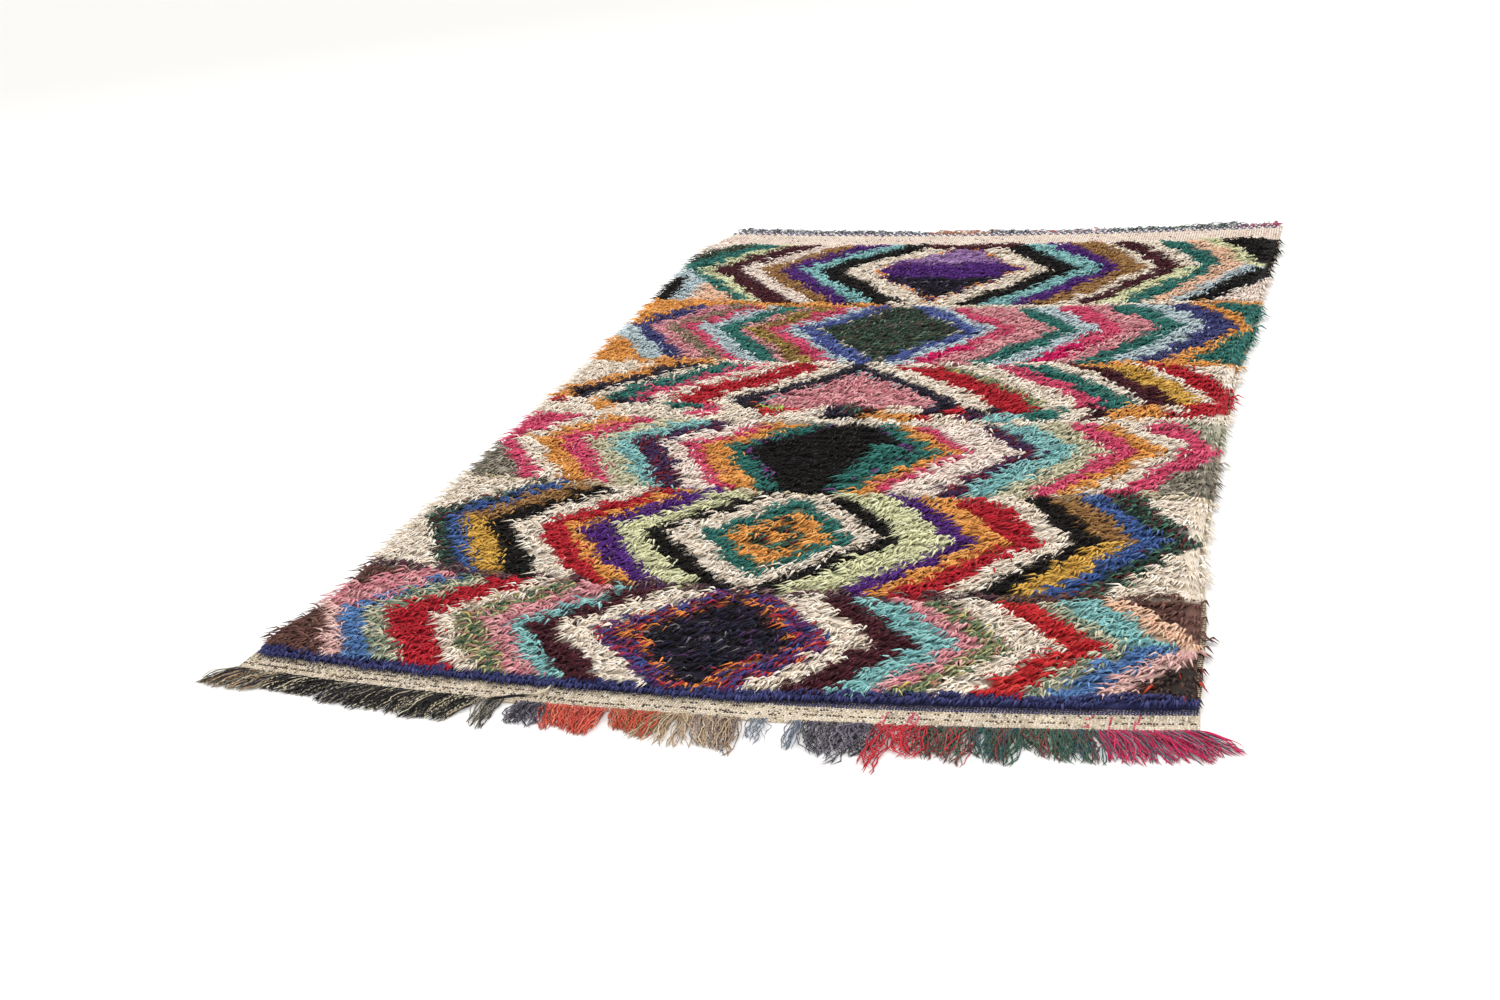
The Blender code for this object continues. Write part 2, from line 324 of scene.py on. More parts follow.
BANDS = (
    {
        "from": -1.450, "to": -0.975, "middle": -1.135, "heart": 0.009,
        "left": side(
            (0.95, 0.80, 0.95, 0.45),
            "night 140, ember 22, speckle 46, cream 66, maroon 54, aqua 32, dusty_pink 50, garden 56,"
            "cream 40, red 76, sage_heather 54, denim 20, dusty_pink|denim 22, dusty_pink|pale_pink 36,"
            "dusty_pink|brown 34",
            "brown",
        ),
        "right": side(
            (0.88, 0.76, 0.74, 0.66),
            "night 119, ember 18, speckle 54, cream 62, maroon 64, aqua 60, dusty_pink 46, garden 40,"
            "cream 58, warm_red 68, sage_heather 36, aqua|denim 62, peach|pale_pink 46",
            "brown|singed",
        ),
    },
    {
        "from": -0.965, "to": -0.556, "middle": -0.752, "heart": -0.003,
        "left": side(
            (0.88, 0.78, 0.92, 0.50),
            "orange 24, forest_flecked 37, orange 43, teal 50, cream 58, black 44, lime_cream 62,"
            "violet 56, orange 34, red 53, cream 53, black 53, caramel|golden 57, deep_denim 32,"
            "forest_flecked 36",
            "cream",
        ),
        "right": side(
            (0.80, 0.50, 0.80, 0.52),
            "orange 24, forest_flecked 32, orange 48, teal 36, cream 42, black 44, lime_cream 80,"
            "violet 48, orange 43, red 62, cream 48, black 43, caramel|golden 59, deep_denim 42,"
            "forest_flecked 54",
            "cream",
        ),
    },
    {
        "from": -0.556, "to": -0.182, "middle": -0.335, "heart": -0.038,
        "left": side(
            (1.00, 0.78, 0.62, 0.80),
            "black 146, plum_fleck 10, teal 42, orange 56, rose 36, pink_cream 51, plum_heather 55,"
            "aqua 47, sage 61, rose 54, orange 60, cream 50, rose 38, rose|grey_heather 50",
            "cream|grey_heather",
        ),
        "right": side(
            (0.78, 0.68, 0.60, 0.58),
            "black 186, plum_fleck 10, teal 34, orange 34, rose 32, pink_cream 92, plum_heather 40,"
            "aqua 66, sage 60, rose 52, orange 40, cream 48, rose 58",
            "stone_green|grey_heather",
        ),
    },
    {
        "from": -0.182, "to": 0.171, "middle": -0.050, "heart": -0.055,
        "left": side(
            (0.90, 0.86, 0.0, 0.0),
            "dusty_pink 166, aqua_fleck 8, navy 62, cream 54, red 90, cream 48, rose 46, teal 68,"
            "cream 32, navy 48, orange 46",
            "cream",
        ),
        "right": side(
            (1.14, 0.58, 0.0, 0.0),
            "dusty_pink 180, aqua_fleck 8, navy 48, cream 64, red 78, garden 30, cream 62, rose 48,"
            "teal 54, cream 36, maroon 54, golden 54, cream 18, red 70",
            "cream",
        ),
    },
    {
        "from": 0.190, "to": 0.606, "middle": 0.430, "heart": -0.062,
        "left": side(
            (0.85, 0.68, 0.82, 0.72),
            "forest 172, cream_fleck 12, periwinkle 52, pale_blue 30, rose 44, olive 60,"
            "dusty_pink 24, teal 52, pale_blue 46, rose 36, grey_olive 42, dusty_pink 50, indigo 44,"
            "orange|pale_blue 60",
            "orange",
        ),
        "right": side(
            (0.82, 0.60, 0.68, 0.58),
            "forest 148, cream_fleck 8, periwinkle 46, pale_blue 34, rose 44, dusty_pink 84, teal 54,"
            "pale_blue 52, rose 58, dusty_pink 60, teal 64, pale_blue 52, indigo 60, orange 36",
            "teal",
        ),
    },
    {
        "from": 0.634, "to": 1.300, "middle": 0.930, "heart": -0.042,
        "left": side(
            (0.86, 0.60, 0.76, 0.86),
            "violet 186, gold_fleck 14, cream 72, black 75, aqua 52, violet 56, caramel 56,"
            "pink_cream 52, maroon 74, lime_cream 40, teal 36, teal|peach 30, forest|peach 50",
            "skirt_pink|peach",
        ),
        "right": side(
            (0.80, 0.36, 0.66, 0.50),
            "violet 188, gold_fleck 14, cream 58, black 66, aqua 54, violet 52, caramel 66, cream 32,"
            "maroon 48, cream|lime_cream 50, teal 52, peach 46, lime_cream|pale_blue 36, black 62",
            "black|pink_cream",
        ),
    },
)
EDGE_WANDER = 0.009
SLOPE_SPAN = 0.75


def yarn_number(name, above):
    """The yarn of a chart's name, which may hold one yarn for above and one for below."""
    names = name.split("|")
    upper = number_of(names[0])
    lower = number_of(names[-1])
    return np.where(above, upper, lower)


def chart_side(side, distance, rise, wander):
    """The yarn numbers of places on one side of a band."""
    inner_up, outer_up, inner_down, outer_down = side["slopes"]
    span = np.clip(distance / SLOPE_SPAN, 0, 1)
    slope_up = inner_up + (outer_up - inner_up) * span
    slope_down = inner_down + (outer_down - inner_down) * span
    slope = np.where(rise > 0, slope_up, slope_down)
    reach = distance + slope * np.abs(rise) + wander
    edges = np.cumsum([width for _, width in side["rings"]]) / 1000
    ring = np.searchsorted(edges, reach)
    above = rise > 0
    numbers = yarn_number(side["rest"], above)
    for place, (name, _) in enumerate(side["rings"]):
        numbers = np.where(ring == place, yarn_number(name, above), numbers)
    return numbers


# %% [markdown]
# ## What the rings leave out
#
# Between some bands runs a thin line of one colour. The fourth band has a row of scraps under its
# arms, as if the weaver used up what was left. The far diamond is in three shades, and the
# near edge of the pile is one plain indigo strip. These few places are laid over the rings.

# %% Lines, scraps and shades
LINES = (
    # yarn, along from, along to, x from, x to
    ("wine_line", -0.984, -0.963, -1.0, 0.55),
    ("brown", -0.984, -0.963, 0.45, 1.0),
    ("ecru", -0.562, -0.552, -1.0, 1.0),
    ("cream", -0.190, -0.162, -1.0, 1.0),
    ("orange", 0.164, 0.192, -1.0, -0.42),
    ("orange", 0.164, 0.192, 0.38, 1.0),
    ("orange", 0.600, 0.640, -1.0, -0.12),
    ("cream", 0.606, 0.634, -0.12, 0.58),
    ("orange", 0.606, 0.628, 0.58, 1.0),
    ("maroon", 1.150, 1.300, -0.13, 0.12),
)
SCRAPS_FROM = -0.168
SCRAPS_TO = -0.090
SCRAP_WIDTH = 0.048
SCRAPS_LEFT = -0.76
SCRAPS = (
    "cream red cream orange navy navy cream teal rose cream singed lime red cream night "
    "forest_flecked orange cream night red navy red red teal cream black orange orange cream "
    "red red cream",
    "cream cream cream orange cream cream cream cream rose cream cream red cream cream night "
    "night orange orange red cream plum_heather aqua aqua teal cream maroon orange orange red "
    "red cream cream",
)
PATCHES = (
    # yarn there, yarn laid over it, along from, along to, x from, x to
    ("rose", "magenta", 0.20, 0.315, 0.02, 1.0),
    ("peach", "pale_blue", 0.64, 0.90, -1.0, -0.655),
    ("pale_blue", "black", 0.64, 0.84, -1.0, -0.705),
)
FAR_DIAMOND_REACH = 0.21
LILAC_FROM = 1.000
NIGHT_TO = 0.865


def yarn_at(x, along):
    """The yarn numbers of many places on the pile."""
    x = np.asarray(x, dtype=float)
    along = np.asarray(along, dtype=float)
    wander = EDGE_WANDER * (soft_noise(x, along, 0.055, 3) + 0.6 * soft_noise(x, along, 0.021, 4))
    numbers = np.full(x.shape, number_of("cream"))
    for band in BANDS:
        inside = (along >= band["from"]) & (along < band["to"])
        rise = along - band["middle"]
        left = chart_side(band["left"], band["heart"] - x, rise, wander)
        right = chart_side(band["right"], x - band["heart"], rise, wander)
        numbers = np.where(inside, np.where(x < band["heart"], left, right), numbers)

    # the third band's black diamond is pinched at its lower right by teal
    pinch = (x > 0.062 + (along + 0.33) * 0.22) & (along < -0.292) & (along > -0.52)
    was_black = numbers == number_of("black")
    numbers = np.where(pinch & was_black & (x < 0.16), number_of("teal"), numbers)

    # the far diamond is lilac, violet and night from top to bottom
    diamond = (np.abs(x - BANDS[-1]["heart"]) < FAR_DIAMOND_REACH) & (along > BANDS[-1]["from"])
    diamond = diamond & (numbers == number_of("violet"))
    numbers = np.where(diamond & (along > LILAC_FROM + wander), number_of("lilac"), numbers)
    numbers = np.where(diamond & (along < NIGHT_TO + wander), number_of("night"), numbers)

    # hot magenta rag in the fifth band's arms, pale blue and black in the far band's lower corner
    for under, over, start, stop, x_from, x_to in PATCHES:
        patch = (along > start) & (along < stop) & (x > x_from) & (x < x_to)
        numbers = np.where(patch & (numbers == number_of(under)), number_of(over), numbers)

    # the row of scraps
    upper, lower = (np.array([number_of(name) for name in row.split()]) for row in SCRAPS)
    place = np.clip(((x - SCRAPS_LEFT + wander * 2) / SCRAP_WIDTH).astype(int), 0, len(upper) - 1)
    middle = (SCRAPS_FROM + SCRAPS_TO) / 2
    scraps = (along > SCRAPS_FROM + wander) & (along < SCRAPS_TO + 1.5 * wander)
    numbers = np.where(scraps, np.where(along > middle, upper[place], lower[place]), numbers)

    for name, start, stop, x_from, x_to in LINES:
        on_line = (along >= start) & (along < stop) & (x >= x_from) & (x < x_to)
        numbers = np.where(on_line, number_of(name), numbers)
    return numbers


# %% [markdown]
# ## One finish for all the yarn
#
# Yarn scatters light off thousands of fibres: it is rough, has a soft sheen at grazing angles, and shows fine
# streaks along each strand. The strand's colour comes from an attribute that the mesh carries: its own
# colour, with painted shade mixed in at roots, undersides and depths. A node group makes the streaks and the
# bump, and each material uses it with its own strength, so pile, stitches and fringe look like one family.

# %% The yarn's node group and materials
def add_node(tree, kind, values=None, **settings):
    """A node with its settings and its inputs. An input is given a value, or another node's socket."""
    node = tree.nodes.new(kind)
    for setting, value in settings.items():
        setattr(node, setting, value)
    for socket, value in (values or {}).items():
        if isinstance(value, bpy.types.NodeSocket):
            tree.links.new(value, node.inputs[socket])
        else:
            node.inputs[socket].default_value = value
    return node


def make_fibre_group():
    """Fine streaks along a strand: a colour, and a height for bump."""
    group = bpy.data.node_groups.new("fibre_streaks", "ShaderNodeTree")
    for name, way, kind in (
        ("Colour", "INPUT", "Color"), ("Vector", "INPUT", "Vector"), ("Streak", "INPUT", "Float"),
        ("Colour", "OUTPUT", "Color"), ("Height", "OUTPUT", "Float"),
    ):
        group.interface.new_socket(name, in_out=way, socket_type=f"NodeSocket{kind}")
    given = add_node(group, "NodeGroupInput").outputs
    stretch = add_node(group, "ShaderNodeMapping", {"Scale": (1500, 110, 900), "Vector": given["Vector"]})
    fine = add_node(group, "ShaderNodeTexNoise", {
        "Scale": 1.0, "Detail": 2.0, "Vector": stretch.outputs["Vector"],
    })
    spread = add_node(group, "ShaderNodeMapRange", {
        "From Min": 0.3, "From Max": 0.7, "To Min": -0.5, "To Max": 0.5, "Value": fine.outputs["Fac"],
    })
    strength = add_node(group, "ShaderNodeMath", {
        0: spread.outputs["Result"], 1: given["Streak"], 2: 1.0,
    }, operation="MULTIPLY_ADD")
    shade = add_node(group, "ShaderNodeVectorMath", {
        0: given["Colour"], "Scale": strength.outputs["Value"],
    }, operation="SCALE")
    add_node(group, "NodeGroupOutput", {"Colour": shade.outputs["Vector"], "Height": fine.outputs["Fac"]})
    return group


FIBRES = make_fibre_group()
PLY_ROUND = 0.0092
PLY_PITCH = 0.0100


def add_ply_colour(tree, place, colour):
    """Two plies twisted together: slanting bands that change from one colour to the other."""
    split = add_node(tree, "ShaderNodeSeparateXYZ", {"Vector": place}).outputs
    around = add_node(tree, "ShaderNodeMath", {0: split["X"], 1: 1 / PLY_ROUND}, operation="MULTIPLY")
    band = add_node(tree, "ShaderNodeMath", {
        0: split["Y"], 1: 1 / PLY_PITCH, 2: around.outputs["Value"],
    }, operation="MULTIPLY_ADD")
    wave = add_node(tree, "ShaderNodeMath", {0: band.outputs["Value"], 1: 0.5}, operation="PINGPONG")
    edge = add_node(tree, "ShaderNodeMapRange", {
        "From Min": 0.20, "From Max": 0.30, "Value": wave.outputs["Value"],
    })
    second = add_node(tree, "ShaderNodeAttribute", attribute_name="ply")
    blend = add_node(tree, "ShaderNodeMix", {
        "Factor": edge.outputs["Result"], "A": colour, "B": second.outputs["Color"],
    }, data_type="RGBA")
    return blend.outputs["Result"]


def dress(tree, shader, colour, place, streak, bump, depth, height=None):
    """Give a shader the streaked colour, and a bump from the fibres or from a height of its own."""
    fibres = add_node(tree, "ShaderNodeGroup", {
        "Streak": streak, "Colour": colour, "Vector": place,
    }, node_tree=FIBRES)
    relief = add_node(tree, "ShaderNodeBump", {
        "Strength": bump, "Distance": depth, "Height": height or fibres.outputs["Height"],
    })
    tree.links.new(fibres.outputs["Colour"], shader.inputs["Base Color"])
    tree.links.new(relief.outputs["Normal"], shader.inputs["Normal"])


def yarn_material(name, streak, bump, sheen, coordinates, plied=False):
    """Yarn whose colour is the mesh's own, with streaks and bump from the fibre group."""
    material, tree, shader = plain_nodes(name)
    colour = add_node(tree, "ShaderNodeAttribute", attribute_name="yarn").outputs["Color"]
    if coordinates == "object":
        place = add_node(tree, "ShaderNodeTexCoord").outputs["Object"]
    else:
        place = add_node(tree, "ShaderNodeUVMap", uv_map=coordinates).outputs["UV"]
    if plied:
        colour = add_ply_colour(tree, place, colour)
    dress(tree, shader, colour, place, streak, bump, 0.0006)
    shader.inputs["Roughness"].default_value = 0.95
    shader.inputs["Specular IOR Level"].default_value = 0.08
    shader.inputs["Sheen Weight"].default_value = sheen
    shader.inputs["Sheen Roughness"].default_value = 0.55
    return material


PILE_YARN = yarn_material("pile_yarn", 0.34, 0.50, 0.05, "fibre")
FRINGE_YARN = yarn_material("fringe_yarn", 0.30, 0.50, 0.12, "fibre", plied=True)
STITCH_YARN = yarn_material("stitch_yarn", 0.26, 0.45, 0.08, "object")

# %% [markdown]
# ## Meshes from arrays
#
# A lock is a few dozen faces and there are thousands of them, so each kind of strand is written once as rings
# of points, and numpy places all of them together. Every strand also gets two maps. One is in metres along
# and round the strand, for the fibre streaks. The other, named OFBake, gives each strand a small tile of its
# own, so nothing overlaps.

# %% Helpers for a mesh from arrays
def mesh_from_loops(name, points, loops, sizes):
    """A smooth mesh from its points, all faces' corners in one row, and each face's count of them."""
    mesh = bpy.data.meshes.new(name)
    mesh.vertices.add(points.size // 3)
    mesh.vertices.foreach_set("co", points.astype(np.float32).ravel())
    mesh.loops.add(len(loops))
    mesh.loops.foreach_set("vertex_index", loops.astype(np.int32))
    mesh.polygons.add(len(sizes))
    starts = np.concatenate([[0], np.cumsum(sizes)[:-1]])
    mesh.polygons.foreach_set("loop_start", starts.astype(np.int32))
    mesh.update(calc_edges=True)
    mesh.polygons.foreach_set("use_smooth", np.ones(len(sizes), dtype=bool))
    return mesh


def paint(mesh, name, tone):
    """Store one colour for each point of a mesh."""
    full = np.concatenate([np.clip(tone, 0, 1), np.ones((len(tone), 1))], axis=1)
    attribute = mesh.color_attributes.new(name, "FLOAT_COLOR", "POINT")
    attribute.data.foreach_set("color", full.astype(np.float32).ravel())


def add_tiles(mesh, one_map, count, margin, span):
    """The OFBake map: every strand or stitch gets a small square of its own."""
    tiles = math.ceil(math.sqrt(count))
    number = np.arange(count)
    tile = np.empty((count, len(one_map), 2))
    tile[..., 0] = ((number % tiles)[:, None] + margin + span * one_map[None, :, 0]) / tiles
    tile[..., 1] = ((number // tiles)[:, None] + margin + span * one_map[None, :, 1]) / tiles
    mesh.uv_layers.new(name="OFBake").data.foreach_set("uv", tile.astype(np.float32).ravel())


def place_piece(name, mesh, material):
    """An object for a finished mesh, with its material, in the scene."""
    mesh.materials.append(material)
    piece = bpy.data.objects.new(name, mesh)
    bpy.context.scene.collection.objects.link(piece)
    return piece


# %% A helper that joins many strands into one object
def add_colours(mesh, name, colours, stations, sides):
    """Store a colour for each station of each strand as the colours of its points."""
    count = len(colours)
    tone = np.repeat(colours[:, :stations, None, :], sides, axis=2).reshape(count, -1, 3)
    tone = np.concatenate([tone, colours[:, stations:stations + 1, :]], axis=1).reshape(-1, 3)
    paint(mesh, name, tone)


def strands_object(name, rings, tips, colours, ring_shares, material, ply_colours=None):
    """Join strands into one mesh.

    rings is strands x stations x sides x 3, tips strands x 3, and colours strands x stations+1 x 3.
    """
    count, stations, sides, _ = rings.shape
    each = stations * sides + 1
    points = np.concatenate([rings.reshape(count, -1, 3), tips[:, None, :]], axis=1)

    quads = []
    quad_maps = []
    for station in range(stations - 1):
        for side in range(sides):
            after = (side + 1) % sides
            low = station * sides
            quads.append((low + side, low + after, low + sides + after, low + sides + side))
            quad_maps.append(((side, station), (side + 1, station),
                              (side + 1, station + 1), (side, station + 1)))
    ends = []
    end_maps = []
    last = (stations - 1) * sides
    for side in range(sides):
        ends.append((last + side, last + (side + 1) % sides, stations * sides))
        end_maps.append(((side, stations - 1), (side + 1, stations - 1), (side + 0.5, stations)))
    one_loops = np.array([*np.ravel(quads), *np.ravel(ends)])
    one_map = np.array([*[c for q in quad_maps for c in q], *[c for e in end_maps for c in e]], dtype=float)
    one_sizes = np.array([4] * len(quads) + [3] * len(ends))

    loops = (one_loops[None, :] + np.arange(count)[:, None] * each).ravel()
    mesh = mesh_from_loops(name, points, loops, np.tile(one_sizes, count))
    add_colours(mesh, "yarn", colours, stations, sides)
    if ply_colours is not None:
        add_colours(mesh, "ply", ply_colours, stations, sides)

    along = np.array([*ring_shares, 1.0])
    lengths = np.linalg.norm(tips - rings[:, 0].mean(axis=1), axis=1) * 1.2
    around = np.linalg.norm(rings[:, 1, 0] - rings[:, 1, 1], axis=1)
    shift = np.random.default_rng(count).uniform(0, 1, (count, 2))
    fibre = np.empty((count, len(one_loops), 2))
    fibre[..., 0] = one_map[None, :, 0] * around[:, None] + shift[:, :1]
    fibre[..., 1] = along[np.round(one_map[:, 1]).astype(int)][None, :] * lengths[:, None] + shift[:, 1:]
    mesh.uv_layers.new(name="fibre").data.foreach_set("uv", fibre.astype(np.float32).ravel())
    add_tiles(mesh, one_map / (sides, stations), count, 0.08, 0.84)
    print(name, count, "strands", len(quads) * 2 * count + len(ends) * count, "triangles")
    return place_piece(name, mesh, material)


# %% [markdown]
# ## The pile
#
# Rows of knots run across the rug about 25 mm apart, with a knot every 10 mm in a row. A knot's lock
# stands up out of the ground, bends over and lies towards the near end, on the row before. Its
# five strands splay, and they spread outwards over the two sides. A strand has two rings of three
# points and a tip: enough for a bend and a taper, and few enough for about 76,000 of them.
# The root is painted darker than the tip: painted shade, since the root lies deep in the pile. The tip's
# slight lightening is partly wear and partly painted light.

# %% Knot rows and their locks
ROW_PITCH = 0.0252
KNOT_PITCH = 0.0096
STRANDS_PER_LOCK = 5
LOCK_REACH = 0.038
LOCK_HEIGHT = 0.0165
STRAND_WIDTH = 0.0042
STRAND_CROWN = 0.70
FALL_ANGLE = -40
LEFT_FAN = 20
ROOT_HEIGHT = 0.005
PILE_PIECES = 5
EDGE_ROWS = (0.000, 0.009)
EDGE_KNOT_PITCH = 0.0078
EDGE_REACH = 0.46
FIRST_ROW = 0.019
FIRST_REACH = 0.62
LEFT_MARGIN = 0.021
RIGHT_MARGIN = 0.004


def edge_front(x):
    """Where the indigo edge rows start: a little further out on the left half."""
    share = np.clip((x - 0.05) / 0.25, 0, 1)
    return -1.301 + 0.011 * share * share * (3 - 2 * share)


def knot_places(rng):
    """The x and along of every knot, and its share of a full reach, row by row."""
    rows = [(PILE_FROM, EDGE_KNOT_PITCH, step, EDGE_REACH) for step in EDGE_ROWS]
    rows.append((PILE_FROM, KNOT_PITCH, FIRST_ROW, FIRST_REACH))
    along = PILE_FROM + FIRST_ROW + 0.014
    while along < PILE_TO:
        rows.append((along, KNOT_PITCH, None, 1.0))
        along += ROW_PITCH
    xs = []
    alongs = []
    shares = []
    for along, pitch, step, share in rows:
        left = -float(eased(EDGES, along, 1)) + LEFT_MARGIN
        right = float(eased(EDGES, along, 2)) - RIGHT_MARGIN
        x = np.arange(left, right, pitch) + rng.uniform(0, pitch)
        x = x[x < right] + rng.normal(0, pitch * 0.18, (x < right).sum())
        if step is None:
            place = along + 0.004 * soft_noise(x, along, 0.09, 5) + rng.normal(0, ROW_PITCH * 0.12, len(x))
        else:
            place = edge_front(x) + step + rng.normal(0, 0.0012, len(x))
        xs.append(x)
        alongs.append(place)
        shares.append(np.full(len(x), share))
    return np.concatenate(xs), np.concatenate(alongs), np.concatenate(shares)


def pile_height(x, along):
    """How high the pile stands: it swells and sinks softly, and is lower at the rim."""
    swell = 1 + 0.16 * soft_noise(x, along, 0.075, 6) + 0.10 * soft_noise(x, along, 0.032, 7)
    side = np.clip((half_width(x, along) - np.abs(x)) / 0.040, 0, 1)
    ends = np.clip((along - PILE_FROM + 0.018) / 0.045, 0, 1) * np.clip((PILE_TO + 0.02 - along) / 0.05, 0, 1)
    return LOCK_HEIGHT * swell * (0.55 + 0.45 * np.sqrt(side)) * (0.62 + 0.38 * np.sqrt(ends))


def make_pile():
    """All the locks, joined into a few pieces from the near end to the far one."""
    rng = np.random.default_rng(17)
    x, along, share = knot_places(rng)
    count = len(x)
    half = half_width(x, along)
    rim = np.clip(1 - (half - np.abs(x)) / 0.030, 0, 1)
    turn = FALL_ANGLE + 20 * soft_noise(x, along, 0.08, 8) + rng.normal(0, 13, count)
    turn = np.radians(turn + rim * np.where(x < 0, -18, 84))
    leftwards = np.clip(-x / 0.45, 0, 1)
    reach = LOCK_REACH * share * rng.uniform(0.80, 1.22, count) * (1 - 0.35 * rim)
    height = pile_height(x, along) * rng.uniform(0.86, 1.14, count)

    # a lock shows its colour where its middle lies, not at its root
    seen_x = x + 0.5 * reach * np.sin(turn)
    seen_along = along - 0.5 * reach * np.cos(turn)
    yarns = yarn_at(seen_x, seen_along)
    yarns = np.where(share == EDGE_REACH, number_of("indigo_band"), yarns)

    # from one lock to its strands
    lock = np.repeat(np.arange(count), STRANDS_PER_LOCK)
    strands = len(lock)
    fan = np.tile(np.linspace(-1, 1, STRANDS_PER_LOCK), count)
    spread = np.radians(22 + LEFT_FAN * leftwards)[lock]
    heading = turn[lock] + spread * fan + rng.normal(0, math.radians(12), strands)
    out = np.stack([np.sin(heading), -np.cos(heading), np.zeros(strands)], axis=1)
    across = np.stack([np.cos(heading), np.sin(heading), np.zeros(strands)], axis=1)
    up = np.array([0.0, 0.0, 1.0])
    length = reach[lock] * rng.uniform(0.78, 1.18, strands)
    tall = height[lock] * rng.uniform(0.86, 1.12, strands)
    width = STRAND_WIDTH * rng.uniform(0.72, 1.25, strands)
    root_x = x[lock] + fan * 0.0034
    root_y = floor_y(x, along)[lock] + rng.normal(0, 0.0012, strands)
    root = np.stack([root_x, root_y, ROOT_HEIGHT - 0.0025 * rim[lock]], axis=1)
    droop = np.clip(rim[lock] * 1.4, 0, 1)
    droop = np.maximum(droop, np.clip((PILE_FROM + 0.006 - along[lock]) / 0.016, 0, 1))
    tip_height = tall * (0.90 - 0.72 * droop)

    # stations: share of the reach, share of the height, lean of the ring's back, width share
    stations = ((0.00, 0.05, 0.15, 0.80), (0.44, 1.00, 0.90, 1.10))
    rings = np.empty((strands, len(stations), 3, 3))
    for number, (part, rise, lean, wide) in enumerate(stations):
        centre = root + out * (length * part)[:, None] + up * (tall * rise)[:, None]
        centre[:, 2] -= droop * tall * 0.55 * part
        back = up * math.sin(lean * math.pi / 2) - out * math.cos(lean * math.pi / 2)
        half_span = (width * wide / 2)[:, None]
        rings[:, number, 0] = centre - across * half_span
        rings[:, number, 1] = centre + across * half_span
        rings[:, number, 2] = centre + back * half_span * STRAND_CROWN
    sway = rng.normal(0, 0.0016, strands)
    tips = root + out * length[:, None] + across * sway[:, None]
    tips[:, 2] = root[:, 2] + tip_height

    base = draw_colours(yarns[lock], rng)
    base = base * rng.uniform(0.84, 1.12, strands)[:, None] * (rng.uniform(0.92, 1.07, count)[lock])[:, None]
    # painted shade at the root, deep in the pile; the tip a little lighter, partly wear and partly painted
    # light
    shade = np.array([0.72, 0.98, 1.06])
    colours = base[:, None, :] * shade[None, :, None]

    order = np.argsort(along[lock], kind="stable")
    for number, chosen in enumerate(np.array_split(order, PILE_PIECES), 1):
        piece = strands_object(
            f"pile_locks_{number}", rings[chosen], tips[chosen], colours[chosen],
            [part for part, *_ in stations], PILE_YARN,
        )
        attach(piece, "root")


make_pile()

# %% [markdown]
# ## The bed under the locks
#
# Between the locks one sees the roots and the knots, never the floor. A thin slab with the same chart,
# darkened as painted shade for that depth, fills it. It is one grid whose points are moved to the outline and
# given a swell, then closed by extruding it down, and it stands for the solid pile.

# %% Pile bed
BED_CELL = 0.015
BED_SHARE = 0.74
# the bed's colours are darkened: painted shade for the depth under the locks
BED_SHADE = 0.80


def coloured_slab(name, cell, from_along, to_along, inset, top, bottom, shade, noise_seed,
                  yarns=yarn_at, plain_bottom=False):
    """A closed grid over part of the cloth, with the chart's colours on its points."""
    columns = int(1.5 / cell)
    rows = int((to_along - from_along) / cell)
    shape = bmesh.new()
    bmesh.ops.create_grid(shape, x_segments=columns, y_segments=rows, size=1.0)
    across = np.array([vert.co.x for vert in shape.verts])
    along = from_along + (to_along - from_along) * (np.array([vert.co.y for vert in shape.verts]) + 1) / 2
    x = across * (np.where(across < 0, eased(EDGES, along, 1), eased(EDGES, along, 2)) - inset)
    y = floor_y(x, along)
    z = top(x, along)
    for vert, place in zip(shape.verts, zip(x, y, z)):
        vert.co = place
    if plain_bottom:
        rim = [edge for edge in shape.edges if edge.is_boundary]
        grown = bmesh.ops.extrude_edge_only(shape, edges=rim)
        lowest = [item for item in grown["geom"] if isinstance(item, bmesh.types.BMEdge)]
        bmesh.ops.edgeloop_fill(shape, edges=lowest)
    else:
        grown = bmesh.ops.extrude_face_region(shape, geom=shape.faces[:])
    for item in grown["geom"]:
        if isinstance(item, bmesh.types.BMVert):
            item.co.z = bottom
    bmesh.ops.recalc_face_normals(shape, faces=shape.faces)
    mesh = bpy.data.meshes.new(name)
    shape.to_mesh(mesh)
    shape.free()
    places = np.empty(len(mesh.vertices) * 3, dtype=np.float32)
    mesh.vertices.foreach_get("co", places)
    places = places.reshape(-1, 3)
    share = places[:, 0] / half_width(places[:, 0], places[:, 1] - ORIGIN_ALONG)
    line = places[:, 1] - ORIGIN_ALONG + WEFT_BOW * (1 - share ** 2)
    rng = np.random.default_rng(noise_seed)
    paint(mesh, "yarn", draw_colours(yarns(places[:, 0], line), rng) * shade)
    mesh.polygons.foreach_set("use_smooth", np.ones(len(mesh.polygons), dtype=bool))
    piece = bpy.data.objects.new(name, mesh)
    bpy.context.scene.collection.objects.link(piece)
    print(name, len(mesh.polygons) * 2, "triangles")
    return piece


def bed_top(x, along):
    return GROUND_THICKNESS + BED_SHARE * pile_height(x, along)


def bed_yarns(x, along):
    """The chart under the locks, and indigo under the edge rows."""
    return np.where(along < edge_front(x) + 0.015, number_of("indigo_band"), yarn_at(x, along))


BED_YARN = yarn_material("bed_yarn", 0.5, 0.6, 0.05, "object")
bed = coloured_slab(
    "pile_bed", BED_CELL, PILE_FROM - 0.006, PILE_TO, 0.008, bed_top, GROUND_THICKNESS + 0.0003,
    BED_SHADE, 31, yarns=bed_yarns, plain_bottom=True,
)
bed.data.materials.append(BED_YARN)
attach(bed, "root")
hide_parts("pile")

